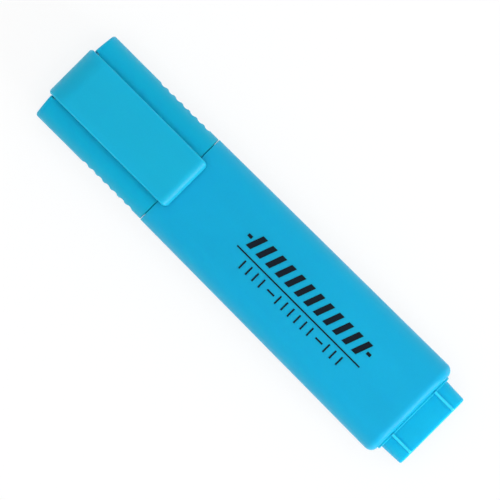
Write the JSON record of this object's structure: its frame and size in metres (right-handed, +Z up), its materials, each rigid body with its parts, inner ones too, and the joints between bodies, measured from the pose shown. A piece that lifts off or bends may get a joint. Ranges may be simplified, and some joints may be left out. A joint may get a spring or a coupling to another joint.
{
  "type": "highlighter",
  "caption": "Flat-bodied highlighter with a pull-off clip cap over a chisel nib, a fibre ink reservoir and a ribbed rear stub on which the cap is posted.",
  "frame": {"origin": "on the plane that the pen lies on, under the middle of its overall length and width", "axes": "+X along the pen toward the cap, +Y across its width, +Z up out of the broad face that carries the clip"},
  "size_m": [0.1176, 0.027, 0.0192],
  "materials": {
    "cap_plastic": "satin moulded",
    "clip_plastic": "satin moulded",
    "barrel_plastic": "satin moulded",
    "plug_plastic": "satin moulded",
    "seal_plastic": "natural, slightly translucent",
    "holder_plastic": "black, satin moulded",
    "nib_fibre": "pressed fibre, soaked with ink",
    "reservoir_fibre": "bundled fibre, soaked with ink",
    "film_plastic": "clear film"
  },
  "bodies": {
    "body": {"barrel": "barrel_plastic", "rear_plug": "plug_plastic", "nib_holder": "holder_plastic", "chisel_nib": "nib_fibre", "ink_reservoir": "reservoir_fibre", "reservoir_film": "film_plastic"},
    "cap": {"cap_shell": "cap_plastic", "inner_cap": "seal_plastic"},
    "clip": {"pocket_clip": "clip_plastic"}
  },
  "joints": [
    {"name": "cap_pull", "type": "slide", "parent": "body", "child": "cap", "axis": [1, 0, 0], "range_m": [0, 0.04]},
    {"name": "clip_flex", "type": "hinge", "parent": "cap", "child": "clip", "pos_m": [0.0566, 0, 0.0115], "axis": [0, 1, 0], "range_deg": [0, 5], "stiffness_Nm_per_rad": 0.8}
  ]
}
